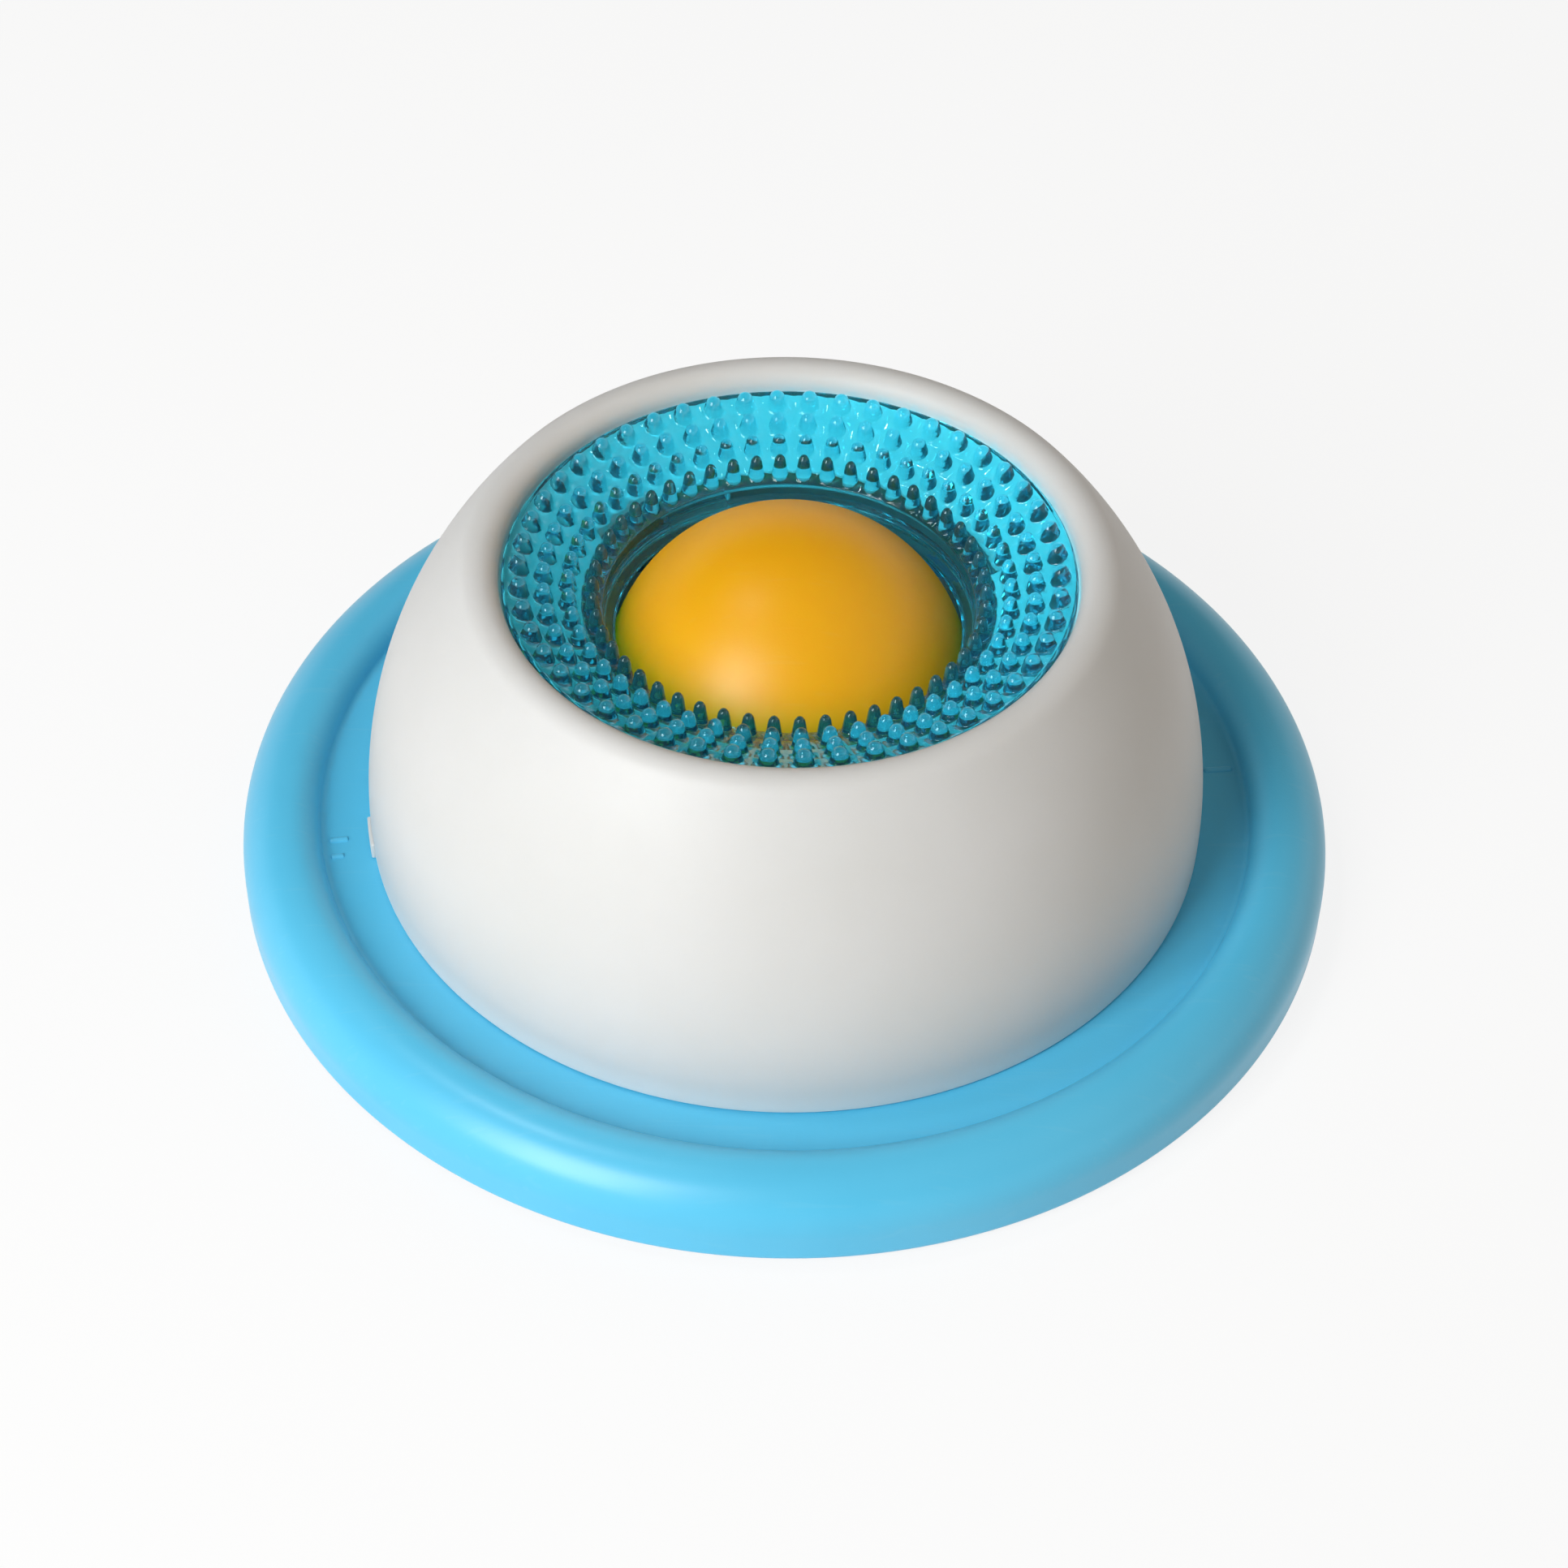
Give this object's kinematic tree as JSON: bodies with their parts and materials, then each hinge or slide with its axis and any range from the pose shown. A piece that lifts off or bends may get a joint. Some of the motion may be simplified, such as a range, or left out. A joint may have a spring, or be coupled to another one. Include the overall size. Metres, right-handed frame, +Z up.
{
  "type": "slow feeder bowl",
  "caption": "Slow feeder for pets: a round tray with a rolled rim, a dome with a nubbed funnel ring in its mouth, and a ball that rolls in the ring over a food cup.",
  "frame": {"origin": "on the table, under the centre of the tray", "axes": "+Z up along the axis of the tray, dome and ring; -Y towards the viewer of the picture"},
  "size_m": [0.18, 0.18, 0.0648],
  "materials": {
    "tray": "satin",
    "cup": "satin",
    "dome": "satin",
    "ring": "clear gloss",
    "ball": "satin",
    "pad": "matt"
  },
  "bodies": {
    "tray": {"base_tray": "tray", "food_cup": "cup", "foot_pad_1": "pad", "foot_pad_2": "pad", "foot_pad_3": "pad", "foot_pad_4": "pad"},
    "dome": {"dome_shell": "dome"},
    "ring": {"lick_ring": "ring"},
    "ball": {"ball_upper_half": "ball", "ball_lower_half": "ball"}
  },
  "joints": [
    {"name": "dome_twist", "type": "hinge", "parent": "tray", "child": "dome", "pos_m": [0, 0, 0.0096], "axis": [0, 0, 1], "range_deg": [0, 24]},
    {"name": "ring_twist", "type": "hinge", "parent": "dome", "child": "ring", "pos_m": [0, 0, 0.0556], "axis": [0, 0, 1], "range_deg": [0, 24]},
    {"name": "ball_roll", "type": "hinge", "parent": "tray", "child": "ball", "pos_m": [0, 0, 0.0353], "axis": [1, 0, 0], "continuous": true}
  ]
}
